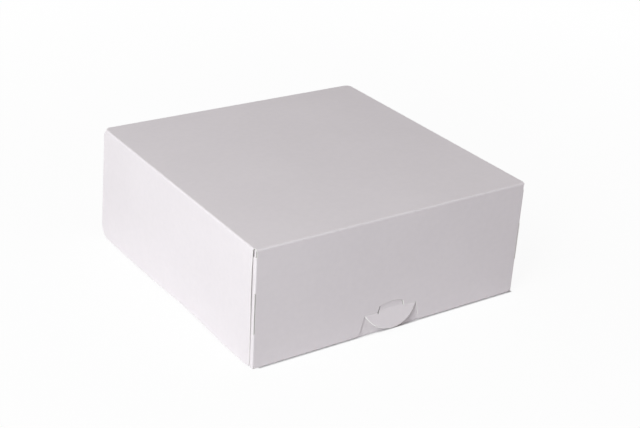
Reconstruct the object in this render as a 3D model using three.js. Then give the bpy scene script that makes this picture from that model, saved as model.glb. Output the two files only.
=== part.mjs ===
// A one-piece paperboard cake box, folded up, with its lid shut and its front lock fastened.
// The real box is one die-cut sheet.
// Each panel is a mesh here, and so is each crease that joins two panels.
// Millimetres, +Z up, front at -Y, right at +X, origin at the centre of the tray's underside.
import * as THREE from "three";

// Board and fits
const BOARD = 0.6; // thickness of the paperboard
const LAYER_GAP = 0.3; // air between two layers of board that lap
const CREASE_GAP = 0.1; // air between a crease and the edge of a panel that it joins
const KERF = 0.4; // width of a die-cut slit

// Tray, between the inside faces of its walls
const TRAY_WIDTH = 254;
const TRAY_DEPTH = 258;
const WALL_HEIGHT = 101.6; // from the floor's top face to the walls' top edges

// Glue flaps, folded in from the ends of the front and back walls
const GLUE_FLAP_LENGTH = 32;
const GLUE_FLAP_BEVEL = 8; // slant of the free end
const GLUE_FLAP_DROP = 4; // from the walls' top edges down to the glue flaps
const GLUE_WIDTH = 14;
const GLUE_HEIGHT = 70;
const GLUE_SKIN = 0.05; // air on each face of a glue film

// Lid and its flaps
const LID_REAR_RADIUS = 3;
const FLAP_LIFT = 1.3; // from the table up to the flaps' lower edges
const FRONT_FLAP_RADIUS = 2;
const SIDE_FLAP_SETBACK = 3.4; // from the front face back to a side flap's front edge
const SIDE_FLAP_FRONT_RADIUS = 5;
const SIDE_FLAP_REAR_RADIUS = 12;

// Ears, folded back from the front flap's ends and tucked inside the side flaps
const EAR_LENGTH = 50;
const EAR_DROP = 6; // from the lid's underside down to the top of an ear
const EAR_TOP_FALL = 8; // how far the top edge falls towards the free end
const EAR_BOTTOM_RISE = 15; // how far the bottom edge rises towards the free end
const EAR_RADIUS = 10;
const EAR_UPPER_CREASE = 30.5;
const EAR_LOWER_CREASE = 30.7; // between the two creases the fold is slit right through

// Lock: a half-round tab in a notch of the front flap, with an arched tongue above its crease
const TAB_HALF_CHORD = 25.2;
const TAB_DEPTH = 15.5;
const TAB_TOE = 1.8; // from the flap's lower edge up to the pressed-in tab's toe
const TAB_KICK_DEGREES = 18.5; // how far the tab stands out while the lock is fastened
const NOTCH_SPLAY = 3.4; // how far each side of the notch leans out on its way down
const NOTCH_FLARE = 3.4; // radius at each foot of the notch
const TONGUE_HALF_WIDTH = 12.8;
const TONGUE_LEG = 5.5; // height of the tongue's straight sides
const TONGUE_LEAN = 1.5; // how far each side leans in over that height
const TONGUE_ARCH = 2.1; // height of the arch above the sides
const TONGUE_FOOT = 1.4; // depth of the slits that run on into the tab
const TONGUE_BEND = 1.8; // height above the crease where the tongue bends back upright
const TONGUE_TILT_DEGREES = 2; // how far it still leans in above the bend
const SLOT_SIDE_CLEARANCE = 1.4;
const SLOT_FOOT_CLEARANCE = 1.1;
const SLOT_HEADROOM = 8; // lets the tongue swing out of the slot as the lid is lifted
const SLOT_RADIUS = 1;

// Facets
const ARC_STEPS = 10; // straight steps in each rounded stretch of an outline
const CREASE_SIDES = 16;

// Places worked out from the sizes
const QUARTER = Math.PI / 2;
const halfWidth = TRAY_WIDTH / 2;
const halfDepth = TRAY_DEPTH / 2;
const creaseRadius = BOARD; // a crease turns about the inside corner, flush with both outside faces
const setback = creaseRadius + CREASE_GAP; // from a crease's axis to the edge of a panel
const wallFoot = BOARD + setback;
const wallTop = BOARD + WALL_HEIGHT;
const lidUnderside = wallTop + creaseRadius + LAYER_GAP;
const flapTop = lidUnderside - setback;
const glueFlapFace = halfWidth - LAYER_GAP - BOARD; // inside faces, as distances from the centre planes
const frontFlapFace = halfDepth + BOARD + LAYER_GAP;
const earFace = halfWidth + BOARD + LAYER_GAP;
const sideFlapFace = earFace + BOARD + LAYER_GAP;
const lidRear = halfDepth - setback;
const frontFlapHalf = earFace - setback;
const earTop = lidUnderside - EAR_DROP;
const tabCrease = FLAP_LIFT + TAB_TOE + TAB_DEPTH;
const tabSetback = BOARD / 2 + CREASE_GAP; // the tab's crease lies in the middle of the board
const tongueHeight = TONGUE_LEG + TONGUE_ARCH;

const finishes = {
  board: { color: 0xecebed, roughness: 0.62, metalness: 0 },
  crease: { color: 0xf2f1f2, roughness: 0.7, metalness: 0 },
  glue: { color: 0xf1ead6, roughness: 0.4, metalness: 0 },
};

function piece(name, geometry, finish) {
  const mesh = new THREE.Mesh(geometry, new THREE.MeshStandardMaterial(finish));
  mesh.name = name;
  return mesh;
}

// A sheet cut to an outline and laid flat, its thickness rising from Z = 0.
function flatSheet(name, outline, thickness = BOARD, finish = finishes.board) {
  const settings = { depth: thickness, bevelEnabled: false, curveSegments: ARC_STEPS };
  return piece(name, new THREE.ExtrudeGeometry(outline, settings), finish);
}

// The same sheet stood upright: the outline's Y runs up,
// and the thickness grows towards -Y from the inside face.
function uprightSheet(name, outline, insideY = 0, thickness = BOARD, finish = finishes.board) {
  const sheet = flatSheet(name, outline, thickness, finish);
  sheet.rotation.x = QUARTER;
  sheet.position.y = insideY;
  return sheet;
}

function creaseBead(name, length, radius) {
  return piece(name, new THREE.CylinderGeometry(radius, radius, length, CREASE_SIDES), finishes.crease);
}

// A crease along X, from x0 to x1.
function lyingCrease(name, x0, x1, y, z, radius = creaseRadius) {
  const bead = creaseBead(name, x1 - x0, radius);
  bead.rotation.z = QUARTER;
  bead.position.set((x0 + x1) / 2, y, z);
  return bead;
}

// A crease along Z, from z0 to z1.
function standingCrease(name, x, y, z0, z1) {
  const bead = creaseBead(name, z1 - z0, creaseRadius);
  bead.rotation.x = QUARTER;
  bead.position.set(x, y, (z0 + z1) / 2);
  return bead;
}

function outlineOf(points) {
  return new THREE.Shape(points.map(([x, y]) => new THREE.Vector2(x, y)));
}

// A rectangle with its corners rounded where their radius isn't 0.
// The radii run [bottom left, bottom right, top right, top left].
function roundedRectangle(x0, y0, x1, y1, radii) {
  const corners = [
    [x0, y0, 1, 1],
    [x1, y0, -1, 1],
    [x1, y1, -1, -1],
    [x0, y1, 1, -1],
  ];
  const outline = new THREE.Shape();
  corners.forEach(([x, y, inX, inY], i) => {
    const r = radii[i];
    const start = Math.PI + i * QUARTER;
    if (r > 0) outline.absarc(x + inX * r, y + inY * r, r, start, start + QUARTER, false);
    else if (i === 0) outline.moveTo(x, y);
    else outline.lineTo(x, y);
  });
  return outline;
}

// A group that turns one side of the box to the front, so that every side is drawn as the front is.
const SIDE_TURNS = { front: 0, right: QUARTER, back: 2 * QUARTER, left: -QUARTER };
function sideGroup(side) {
  const group = new THREE.Group();
  group.rotation.z = SIDE_TURNS[side];
  return group;
}

// A group at the end of an upright panel, turned so that its X runs along a flap that is folded back there.
// The flap lies at positive X on the right-hand end and at negative X on the left-hand end.
function foldedBack(end, axisX, axisY) {
  const group = new THREE.Group();
  group.position.set(end * axisX, axisY, 0);
  group.rotation.z = end * QUARTER;
  return group;
}

// Tray floor
function trayFloor() {
  const x = halfWidth - setback;
  const y = halfDepth - setback;
  return flatSheet("floor_panel", roundedRectangle(-x, -y, x, y, [0, 0, 0, 0]));
}

// One wall of the tray with the crease at its foot. The front wall has the lock's slot.
function trayWall(side, halfLength, creaseHalf, distance, top) {
  const group = sideGroup(side);
  const outline = roundedRectangle(-halfLength, wallFoot, halfLength, top, [0, 0, 0, 0]);
  if (side === "front") outline.holes.push(lockSlot());
  group.add(uprightSheet(`${side}_wall`, outline, -distance));
  group.add(lyingCrease(`${side}_floor_crease`, -creaseHalf, creaseHalf, -distance, BOARD));
  return group;
}

function lockSlot() {
  const half = TONGUE_HALF_WIDTH + SLOT_SIDE_CLEARANCE;
  const foot = tabCrease - SLOT_FOOT_CLEARANCE;
  const head = tabCrease + tongueHeight + SLOT_HEADROOM;
  const radii = [SLOT_RADIUS, SLOT_RADIUS, SLOT_RADIUS, SLOT_RADIUS];
  return roundedRectangle(-half, foot, half, head, radii);
}

// A glue flap, its crease, and the film of glue that holds it to the side wall
function glueFlap(corner, end) {
  const group = foldedBack(end, glueFlapFace, -halfDepth);
  const foot = BOARD + creaseRadius + LAYER_GAP;
  const top = wallTop - GLUE_FLAP_DROP;
  const near = setback;
  const far = GLUE_FLAP_LENGTH;
  const outline = outlineOf([
    [end * near, foot],
    [end * far, foot + GLUE_FLAP_BEVEL],
    [end * far, top - GLUE_FLAP_BEVEL],
    [end * near, top],
  ]);
  group.add(uprightSheet(`${corner}_glue_flap`, outline));
  group.add(standingCrease(`${corner}_glue_flap_crease`, 0, 0, foot, top));

  const middleX = (end * (near + far)) / 2;
  const middleZ = (foot + top) / 2;
  const film = roundedRectangle(
    middleX - GLUE_WIDTH / 2,
    middleZ - GLUE_HEIGHT / 2,
    middleX + GLUE_WIDTH / 2,
    middleZ + GLUE_HEIGHT / 2,
    [0, 0, 0, 0],
  );
  const filmFace = -BOARD - GLUE_SKIN;
  const filmThickness = LAYER_GAP - 2 * GLUE_SKIN;
  group.add(uprightSheet(`${corner}_glue`, film, filmFace, filmThickness, finishes.glue));
  return group;
}

function tray() {
  const group = new THREE.Group();
  const wideHalf = glueFlapFace - setback; // the front and back walls end at their glue flaps' creases
  const wideCrease = halfWidth - setback;
  const deepCrease = halfDepth - setback;
  const front = trayWall("front", wideHalf, wideCrease, halfDepth, wallTop);
  const back = trayWall("back", wideHalf, wideCrease, halfDepth, flapTop);
  front.add(glueFlap("front_left", -1), glueFlap("front_right", 1));
  back.add(glueFlap("back_right", -1), glueFlap("back_left", 1));
  group.add(trayFloor(), front, back);
  for (const side of ["left", "right"]) {
    group.add(trayWall(side, halfDepth, deepCrease, halfWidth, wallTop));
  }
  return group;
}

// Lid top, the crease that it hinges on and the crease of its front flap
function lidTop() {
  const group = new THREE.Group();
  const x = sideFlapFace - setback;
  const front = setback - frontFlapFace;
  const radii = [0, 0, LID_REAR_RADIUS, LID_REAR_RADIUS];
  const outline = roundedRectangle(-x, front, x, lidRear, radii);
  const panel = flatSheet("lid_panel", outline);
  panel.position.z = lidUnderside;
  group.add(panel);
  group.add(lyingCrease("lid_hinge_crease", -glueFlapFace, glueFlapFace, halfDepth, lidUnderside));
  group.add(lyingCrease("front_flap_crease", -frontFlapHalf, frontFlapHalf, -frontFlapFace, lidUnderside));
  return group;
}

// A side flap hangs outside the ear and the tray.
// front is the end of the panel that lies towards the front of the box:
// 1 on the left side, -1 on the right.
function sideFlap(side, front) {
  const group = sideGroup(side);
  const frontEdge = frontFlapFace + BOARD - SIDE_FLAP_SETBACK;
  const rear = lidRear - LID_REAR_RADIUS;
  const outline = new THREE.Shape();
  outline.moveTo(front * frontEdge, flapTop);
  outline.lineTo(front * frontEdge, FLAP_LIFT + SIDE_FLAP_FRONT_RADIUS);
  outline.quadraticCurveTo(
    front * frontEdge,
    FLAP_LIFT,
    front * (frontEdge - SIDE_FLAP_FRONT_RADIUS),
    FLAP_LIFT,
  );
  outline.lineTo(front * (SIDE_FLAP_REAR_RADIUS - lidRear), FLAP_LIFT);
  outline.quadraticCurveTo(
    front * -lidRear,
    FLAP_LIFT,
    front * -lidRear,
    FLAP_LIFT + SIDE_FLAP_REAR_RADIUS,
  );
  outline.lineTo(front * -lidRear, flapTop - LID_REAR_RADIUS);
  outline.lineTo(front * -rear, flapTop);
  group.add(uprightSheet(`${side}_flap`, outline, -sideFlapFace));
  const ends = [front * frontEdge, front * -rear].sort((a, b) => a - b);
  group.add(lyingCrease(`${side}_flap_crease`, ...ends, -sideFlapFace, lidUnderside));
  return group;
}

// The front flap's outline: a plain panel, with the lock's notch cut up from its lower edge
// and the arch that the tongue is cut from above the notch.
function frontFlapOutline() {
  const notchTop = tabCrease + tabSetback;
  const notchTopHalf = TAB_HALF_CHORD + KERF;
  const notchFootHalf = notchTopHalf + NOTCH_SPLAY;
  const flareX = notchFootHalf + NOTCH_FLARE;
  const flareY = FLAP_LIFT + NOTCH_FLARE;
  const cornerX = frontFlapHalf - FRONT_FLAP_RADIUS;
  const cornerY = FLAP_LIFT + FRONT_FLAP_RADIUS;
  const outline = new THREE.Shape();
  outline.absarc(-cornerX, cornerY, FRONT_FLAP_RADIUS, 2 * QUARTER, 3 * QUARTER, false);
  outline.absarc(-flareX, flareY, NOTCH_FLARE, -QUARTER, 0, false);
  outline.lineTo(-notchTopHalf, notchTop);
  addArch(outline, 0, notchTop, tabCrease);
  outline.lineTo(notchTopHalf, notchTop);
  outline.absarc(flareX, flareY, NOTCH_FLARE, 2 * QUARTER, 3 * QUARTER, false);
  outline.absarc(cornerX, cornerY, FRONT_FLAP_RADIUS, -QUARTER, 0, false);
  outline.lineTo(frontFlapHalf, flapTop);
  outline.lineTo(-frontFlapHalf, flapTop);
  return outline;
}

// Half the arch's width at a height above the crease.
// inset is 0 for the cut in the flap, or the kerf for the tongue.
function archHalf(height, inset) {
  return TONGUE_HALF_WIDTH - (TONGUE_LEAN * height) / TONGUE_LEG - inset;
}

// Goes on from the left foot of an arch to its right foot: two leaning sides and a shallow round top.
// footY is where the sides start, and creaseY is where the crease lies.
function addArch(outline, inset, footY, creaseY) {
  const footX = archHalf(footY - creaseY, inset);
  const shoulderX = archHalf(TONGUE_LEG, inset);
  const shoulderY = creaseY + TONGUE_LEG - inset;
  const radius = (shoulderX ** 2 + TONGUE_ARCH ** 2) / (2 * TONGUE_ARCH);
  const centreY = shoulderY + TONGUE_ARCH - radius;
  const spread = Math.asin(shoulderX / radius);
  outline.lineTo(-footX, footY);
  outline.lineTo(-shoulderX, shoulderY);
  outline.absarc(0, centreY, radius, QUARTER + spread, QUARTER - spread, true);
  outline.lineTo(footX, footY);
}

// The half-round tab, drawn below its crease at Y = 0, with the two slits that run on from the tongue's sides
function tabOutline() {
  const radius = (TAB_HALF_CHORD ** 2 + TAB_DEPTH ** 2) / (2 * TAB_DEPTH);
  const centreY = radius - TAB_DEPTH;
  const end = Math.asin((centreY + tabSetback) / radius);
  const slitInner = archHalf(0, KERF);
  const stripTop = -CREASE_GAP / 2;
  const outline = new THREE.Shape();
  outline.absarc(0, centreY, radius, Math.PI + end, 2 * Math.PI - end, false);
  outline.lineTo(TONGUE_HALF_WIDTH, -tabSetback);
  outline.lineTo(TONGUE_HALF_WIDTH, -TONGUE_FOOT);
  outline.lineTo(slitInner, -TONGUE_FOOT);
  outline.lineTo(slitInner, stripTop);
  outline.lineTo(-slitInner, stripTop);
  outline.lineTo(-slitInner, -TONGUE_FOOT);
  outline.lineTo(-TONGUE_HALF_WIDTH, -TONGUE_FOOT);
  outline.lineTo(-TONGUE_HALF_WIDTH, -tabSetback);
  return outline;
}

// The tongue's root, in the tab's plane, from the crease at Y = 0 up to the bend
function rootOutline() {
  const foot = CREASE_GAP / 2;
  const top = TONGUE_BEND - CREASE_GAP / 2;
  const footHalf = archHalf(foot, KERF);
  const topHalf = archHalf(top, KERF);
  return outlineOf([
    [-footHalf, foot],
    [footHalf, foot],
    [topHalf, top],
    [-topHalf, top],
  ]);
}

// The tongue above its bend, which lies at Y = 0
function tongueOutline() {
  const outline = new THREE.Shape();
  const foot = CREASE_GAP / 2;
  outline.moveTo(-archHalf(foot + TONGUE_BEND, KERF), foot);
  addArch(outline, KERF, foot, -TONGUE_BEND);
  return outline;
}

// The tab and its tongue, kicked out about the crease, with the two short creases beside the tongue
function lock() {
  const group = new THREE.Group();
  group.position.set(0, -frontFlapFace - BOARD / 2, tabCrease);
  const swinging = new THREE.Group();
  swinging.rotation.x = THREE.MathUtils.degToRad(-TAB_KICK_DEGREES);
  swinging.add(uprightSheet("lock_tab", tabOutline(), BOARD / 2));
  swinging.add(uprightSheet("lock_tongue_root", rootOutline(), BOARD / 2));
  const bent = new THREE.Group();
  bent.position.z = TONGUE_BEND;
  bent.rotation.x = THREE.MathUtils.degToRad(TAB_KICK_DEGREES - TONGUE_TILT_DEGREES);
  bent.add(uprightSheet("lock_tongue", tongueOutline(), BOARD / 2));
  swinging.add(bent);
  group.add(swinging);
  const near = TONGUE_HALF_WIDTH + CREASE_GAP;
  const far = TAB_HALF_CHORD - KERF;
  group.add(lyingCrease("lock_tab_left_crease", -far, -near, 0, 0, BOARD / 2));
  group.add(lyingCrease("lock_tab_right_crease", near, far, 0, 0, BOARD / 2));
  return group;
}

// An ear with its two creases. Where the fold is slit, the ear's cut edge reaches the front face.
function ear(side, end) {
  const group = foldedBack(end, earFace, -frontFlapFace);
  const lowerTop = FLAP_LIFT + EAR_LOWER_CREASE;
  const upperFoot = earTop - EAR_UPPER_CREASE;
  const rearFoot = FLAP_LIFT + EAR_BOTTOM_RISE;
  const rearTop = earTop - EAR_TOP_FALL;
  const outline = new THREE.Shape();
  outline.moveTo(end * setback, FLAP_LIFT);
  outline.lineTo(end * (EAR_LENGTH - EAR_RADIUS), rearFoot);
  outline.quadraticCurveTo(end * EAR_LENGTH, rearFoot, end * EAR_LENGTH, rearFoot + EAR_RADIUS);
  outline.lineTo(end * EAR_LENGTH, rearTop - EAR_RADIUS);
  outline.quadraticCurveTo(end * EAR_LENGTH, rearTop, end * (EAR_LENGTH - EAR_RADIUS), rearTop);
  outline.lineTo(end * setback, earTop);
  outline.lineTo(end * setback, upperFoot - LAYER_GAP);
  outline.lineTo(end * -BOARD, upperFoot - LAYER_GAP);
  outline.lineTo(end * -BOARD, lowerTop + LAYER_GAP);
  outline.lineTo(end * setback, lowerTop + LAYER_GAP);
  group.add(uprightSheet(`${side}_ear`, outline));
  group.add(standingCrease(`${side}_ear_upper_crease`, 0, 0, upperFoot, earTop));
  group.add(standingCrease(`${side}_ear_lower_crease`, 0, 0, FLAP_LIFT, lowerTop));
  return group;
}

function lid() {
  const group = lidTop();
  group.add(uprightSheet("front_flap", frontFlapOutline(), -frontFlapFace));
  group.add(ear("left", -1), ear("right", 1), lock());
  group.add(sideFlap("left", 1), sideFlap("right", -1));
  return group;
}

const cakeBox = new THREE.Group();
cakeBox.name = "cake_box";
cakeBox.add(tray(), lid());

export default cakeBox;
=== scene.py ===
# %% [markdown]
# # A paperboard cake box
# The real box is one die-cut sheet of white board, creased, folded up and held by glue at four corners. It
# has a tray, and a lid whose front and side flaps hang outside the tray. A half-round tab locks the front.
# This lesson dresses the CAD panels as board: soft folds, hair-fine rounded cuts and a coated surface.

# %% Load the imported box
import math

import bmesh
import bpy
from mathutils import Matrix, Vector


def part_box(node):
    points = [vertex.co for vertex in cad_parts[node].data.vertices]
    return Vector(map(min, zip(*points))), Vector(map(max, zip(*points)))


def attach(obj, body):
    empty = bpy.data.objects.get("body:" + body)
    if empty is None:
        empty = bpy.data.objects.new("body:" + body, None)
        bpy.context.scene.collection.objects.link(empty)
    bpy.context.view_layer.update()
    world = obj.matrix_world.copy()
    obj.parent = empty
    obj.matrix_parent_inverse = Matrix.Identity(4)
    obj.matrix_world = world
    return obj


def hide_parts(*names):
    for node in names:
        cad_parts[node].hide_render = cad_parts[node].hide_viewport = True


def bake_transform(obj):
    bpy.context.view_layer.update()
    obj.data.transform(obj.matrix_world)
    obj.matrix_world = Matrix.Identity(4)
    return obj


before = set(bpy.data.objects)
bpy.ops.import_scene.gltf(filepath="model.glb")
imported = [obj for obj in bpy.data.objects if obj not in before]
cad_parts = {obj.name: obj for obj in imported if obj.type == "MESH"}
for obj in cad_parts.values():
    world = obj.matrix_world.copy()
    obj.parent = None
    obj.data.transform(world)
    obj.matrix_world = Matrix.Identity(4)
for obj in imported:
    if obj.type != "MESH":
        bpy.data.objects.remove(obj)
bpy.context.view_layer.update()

# %% [markdown]
# ## Sizes
# Each piece stands where its CAD panel stands, so the outer faces are read from the CAD boxes. Only the
# lid's right side stands further out, because the board of the real box springs open there. Board can't
# turn a sharp corner: a crease rounds it to two or three times the board's thickness.

# %% Sizes that the pieces share
MM = 0.001
BOARD = 0.6 * MM  # thickness of the board
LID_FOLD = 1.5 * MM  # outer radius of the lid's folds, which are worked most
TRAY_FOLD = 1.2 * MM  # outer radius of the tray's and the ears' folds, which are set once
LID_SPREAD = 1.3 * MM  # how much further out the lid's right side stands

lid_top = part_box("lid_panel")[1].z
front_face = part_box("front_flap")[0].y
left_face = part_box("left_flap")[0].x
right_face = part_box("right_flap")[1].x + LID_SPREAD
tray_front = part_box("front_wall")[0].y
tray_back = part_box("back_wall")[1].y
tray_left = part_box("left_wall")[0].x
tray_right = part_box("right_wall")[1].x
flap_seam = lid_top - LID_FOLD  # height at which a flap leaves its fold
print("lid top", round(lid_top / MM, 2), "front face", round(front_face / MM, 2), "mm")

# %% [markdown]
# ## Node helper
# A material is a small graph. One function adds a node, sets what it needs and links what feeds it.
# Colours are written as the eye sees them, in sRGB hex, and one function turns them to linear light.

# %% Helpers for materials
BUMP_DEPTH = 0.05 * MM  # how deep the fine patterns go


def linear(code):
    """The linear colour of an sRGB hex code such as "#EDEBED"."""
    shares = [int(code[i:i + 2], 16) / 255 for i in (1, 3, 5)]
    return (*[s / 12.92 if s <= 0.04045 else ((s + 0.055) / 1.055) ** 2.4 for s in shares], 1.0)


def add_node(tree, kind, sockets=None, **settings):
    """Adds a node. A socket's value is a number or colour, or another node's output to link from."""
    made = tree.nodes.new(kind)
    for name, value in settings.items():
        setattr(made, name, value)
    for key, value in (sockets or {}).items():
        if isinstance(value, bpy.types.NodeSocket):
            tree.links.new(value, made.inputs[key])
        else:
            made.inputs[key].default_value = value
    return made


def new_material(name):
    """An empty material with a Principled shader on its output. Returns it, its graph and the shader."""
    made = bpy.data.materials.new(name)
    made.use_nodes = True
    graph = made.node_tree
    graph.nodes.clear()
    shader = add_node(graph, "ShaderNodeBsdfPrincipled")
    add_node(graph, "ShaderNodeOutputMaterial", {"Surface": shader.outputs["BSDF"]})
    return made, graph, shader


def dress(graph, shader, tone, roughness, bump):
    """Links a tone, a roughness and a bump to the shader."""
    graph.links.new(tone.outputs["Result"], shader.inputs["Base Color"])
    graph.links.new(roughness.outputs["Result"], shader.inputs["Roughness"])
    graph.links.new(bump.outputs["Normal"], shader.inputs["Normal"])


def cycles_per_metre(millimetres):
    """The scale of a noise texture whose blobs are about this far apart."""
    return 1 / (millimetres * MM)


print("white board is", [round(x, 3) for x in linear("#EDEBED")], "in linear light")

# %% [markdown]
# ## Clay-coated board
# The outside is bleached board under a thin clay coat, pressed smooth. It gives the eye an even, slightly
# cool white, a faint cloudy mottle where the fibres lie thicker, and a soft low gloss that is broken by a
# very fine tooth. The real tooth is about 0.1 mm. That is too fine to show here, so it is drawn at 0.8 mm.

# %% Clay-coated board
MOTTLE = 5  # mm between clouds in the fibre
HANDLING = 70  # mm across the broad patches left by handling
TOOTH = 0.8  # mm between bumps of the coat

clay_coated_board, graph, shader = new_material("clay_coated_board")
place = add_node(graph, "ShaderNodeTexCoord").outputs["Object"]
mottle = add_node(graph, "ShaderNodeTexNoise", {
    "Vector": place, "Scale": cycles_per_metre(MOTTLE), "Detail": 4.0})
broad = add_node(graph, "ShaderNodeTexNoise", {
    "Vector": place, "Scale": cycles_per_metre(HANDLING), "Detail": 2.0})
tooth = add_node(graph, "ShaderNodeTexNoise", {
    "Vector": place, "Scale": cycles_per_metre(TOOTH), "Detail": 3.0})
both = add_node(graph, "ShaderNodeMath", {
    0: mottle.outputs["Fac"], 1: broad.outputs["Fac"]}, operation="ADD")
share = add_node(graph, "ShaderNodeMapRange", {
    "Value": both.outputs[0], "From Min": 0.7, "From Max": 1.3})
tone = add_node(graph, "ShaderNodeMix", {
    "Factor": share.outputs["Result"], "A": linear("#EBE5E9"), "B": linear("#EFE9ED")}, data_type="RGBA")
gloss = add_node(graph, "ShaderNodeMapRange", {
    "Value": mottle.outputs["Fac"], "From Min": 0.3, "From Max": 0.7, "To Min": 0.5, "To Max": 0.6})
bump = add_node(graph, "ShaderNodeBump", {
    "Height": tooth.outputs["Fac"], "Strength": 0.12, "Distance": BUMP_DEPTH})
dress(graph, shader, tone, gloss, bump)
shader.inputs["IOR"].default_value = 1.5
print("made", clay_coated_board.name)

# %% [markdown]
# ## Creased board
# A crease bruises the board and stretches its coat. It gives the eye a line that is a touch lighter and
# duller than the panels, with hair-fine cracks that run along the fold. The cracks are some 0.1 mm wide
# and are drawn at 0.5 mm. They follow the fold, so there is one finish for each way that a fold can run.

# %% Creased board
CRACK = 0.5  # mm between cracks, across the fold
CRACK_LENGTH = 10  # how many times longer a crack is than wide


def creased_board(along):
    """The finish of a fold that runs along one axis."""
    made, graph, shader = new_material(f"creased_board_along_{along.lower()}")
    place = add_node(graph, "ShaderNodeTexCoord").outputs["Object"]
    stretch = [1 / CRACK_LENGTH if axis == along else 1 for axis in "XYZ"]
    drawn = add_node(graph, "ShaderNodeMapping", {"Vector": place, "Scale": stretch})
    fine = add_node(graph, "ShaderNodeTexNoise", {
        "Vector": drawn.outputs["Vector"], "Scale": cycles_per_metre(CRACK), "Detail": 3.0})
    crack = add_node(graph, "ShaderNodeMapRange", {
        "Value": fine.outputs["Fac"], "From Min": 0.52, "From Max": 0.7})
    tone = add_node(graph, "ShaderNodeMix", {
        "Factor": crack.outputs["Result"], "A": linear("#F2ECF0"), "B": linear("#E7E1E4")}, data_type="RGBA")
    dull = add_node(graph, "ShaderNodeMapRange", {
        "Value": crack.outputs["Result"], "To Min": 0.62, "To Max": 0.85})
    bump = add_node(graph, "ShaderNodeBump", {
        "Height": crack.outputs["Result"], "Strength": 0.25, "Distance": -BUMP_DEPTH})
    dress(graph, shader, tone, dull, bump)
    shader.inputs["IOR"].default_value = 1.5
    return made


creased = {along: creased_board(along) for along in "XY"}
print("made", [finish.name for finish in creased.values()])

# %% [markdown]
# ## Uncoated board
# The inside has no coat. It gives the eye a duller, warmer white with fine fibres lying mostly one way,
# and a few darker flecks. A real fibre is about 0.03 mm wide. It is drawn at 0.6 mm.

# %% Uncoated board
FIBRE = 0.6  # mm between fibres
FIBRE_LENGTH = 6  # how many times longer a fibre is than wide
FIBRE_LIE = (0, 0.2, 0.3)  # how the fibres lie, in radians about each axis
FLECK = 9  # mm between flecks

uncoated_board, graph, shader = new_material("uncoated_board")
place = add_node(graph, "ShaderNodeTexCoord").outputs["Object"]
lie = add_node(graph, "ShaderNodeMapping", {
    "Vector": place, "Scale": (1 / FIBRE_LENGTH, 1, 1), "Rotation": FIBRE_LIE})
fibre = add_node(graph, "ShaderNodeTexNoise", {
    "Vector": lie.outputs["Vector"], "Scale": cycles_per_metre(FIBRE), "Detail": 4.0, "Distortion": 0.6})
cloud = add_node(graph, "ShaderNodeTexNoise", {
    "Vector": place, "Scale": cycles_per_metre(MOTTLE), "Detail": 3.0})
share = add_node(graph, "ShaderNodeMath", {
    0: fibre.outputs["Fac"], 1: cloud.outputs["Fac"]}, operation="MULTIPLY")
level = add_node(graph, "ShaderNodeMapRange", {
    "Value": share.outputs[0], "From Min": 0.12, "From Max": 0.4})
tone = add_node(graph, "ShaderNodeMix", {
    "Factor": level.outputs["Result"], "A": linear("#E0DDD8"), "B": linear("#EBE8E4")}, data_type="RGBA")
spot = add_node(graph, "ShaderNodeTexVoronoi", {"Vector": place, "Scale": cycles_per_metre(FLECK)})
fleck = add_node(graph, "ShaderNodeMapRange", {
    "Value": spot.outputs["Distance"], "From Min": 0.03, "From Max": 0.06, "To Min": 0.5, "To Max": 0.0})
flecked = add_node(graph, "ShaderNodeMix", {
    "Factor": fleck.outputs["Result"], "A": tone.outputs["Result"], "B": linear("#B9B1A4")},
    data_type="RGBA")
dull = add_node(graph, "ShaderNodeMapRange", {"Value": fibre.outputs["Fac"], "To Min": 0.78, "To Max": 0.95})
bump = add_node(graph, "ShaderNodeBump", {
    "Height": fibre.outputs["Fac"], "Strength": 0.3, "Distance": BUMP_DEPTH})
dress(graph, shader, flecked, dull, bump)
print("made", uncoated_board.name)

# %% [markdown]
# ## Cut edge
# The die leaves a fuzzy edge of bare bleached fibre. It gives the eye a clean matt white, lighter than the
# coat beside it, with the fibres' fine roughness. Part of that extra lightness is a painted highlight for
# the light that the cut edges catch. The roughness is about 0.05 mm on the real edge and is drawn at 0.3 mm.

# %% Cut edge
FUZZ = 0.3  # mm between tufts of fibre

cut_board_edge, graph, shader = new_material("cut_board_edge")
place = add_node(graph, "ShaderNodeTexCoord").outputs["Object"]
fuzz = add_node(graph, "ShaderNodeTexNoise", {
    "Vector": place, "Scale": cycles_per_metre(FUZZ), "Detail": 3.0})
# The lighter white is partly bare fibre and partly a painted highlight for the light that the cut edges
# catch.
tone = add_node(graph, "ShaderNodeMix", {
    "Factor": fuzz.outputs["Fac"], "A": linear("#EFEDEA"), "B": linear("#FCFBFA")}, data_type="RGBA")
dull = add_node(graph, "ShaderNodeMapRange", {"Value": fuzz.outputs["Fac"], "To Min": 0.8, "To Max": 1.0})
bump = add_node(graph, "ShaderNodeBump", {
    "Height": fuzz.outputs["Fac"], "Strength": 0.4, "Distance": BUMP_DEPTH})
dress(graph, shader, tone, dull, bump)

SHEET = (clay_coated_board, uncoated_board, cut_board_edge)  # outside, inside, cut edge
print("a sheet's finishes:", [finish.name for finish in SHEET])

# %% [markdown]
# ## Working in edit mode
# By hand one would click on an edge. Here a test of each point's place does the clicking.

# %% Helpers for edit mode
SAME = 1e-6  # metres; points this close are in one place


def only(obj):
    """Makes obj the one selected and active object."""
    bpy.ops.object.select_all(action="DESELECT")
    obj.select_set(True)
    bpy.context.view_layer.objects.active = obj


def edit(obj):
    """Enters edit mode on obj alone."""
    only(obj)
    bpy.ops.object.mode_set(mode="EDIT")


def leave_edit():
    """Goes back to object mode."""
    bpy.ops.object.mode_set(mode="OBJECT")


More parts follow.
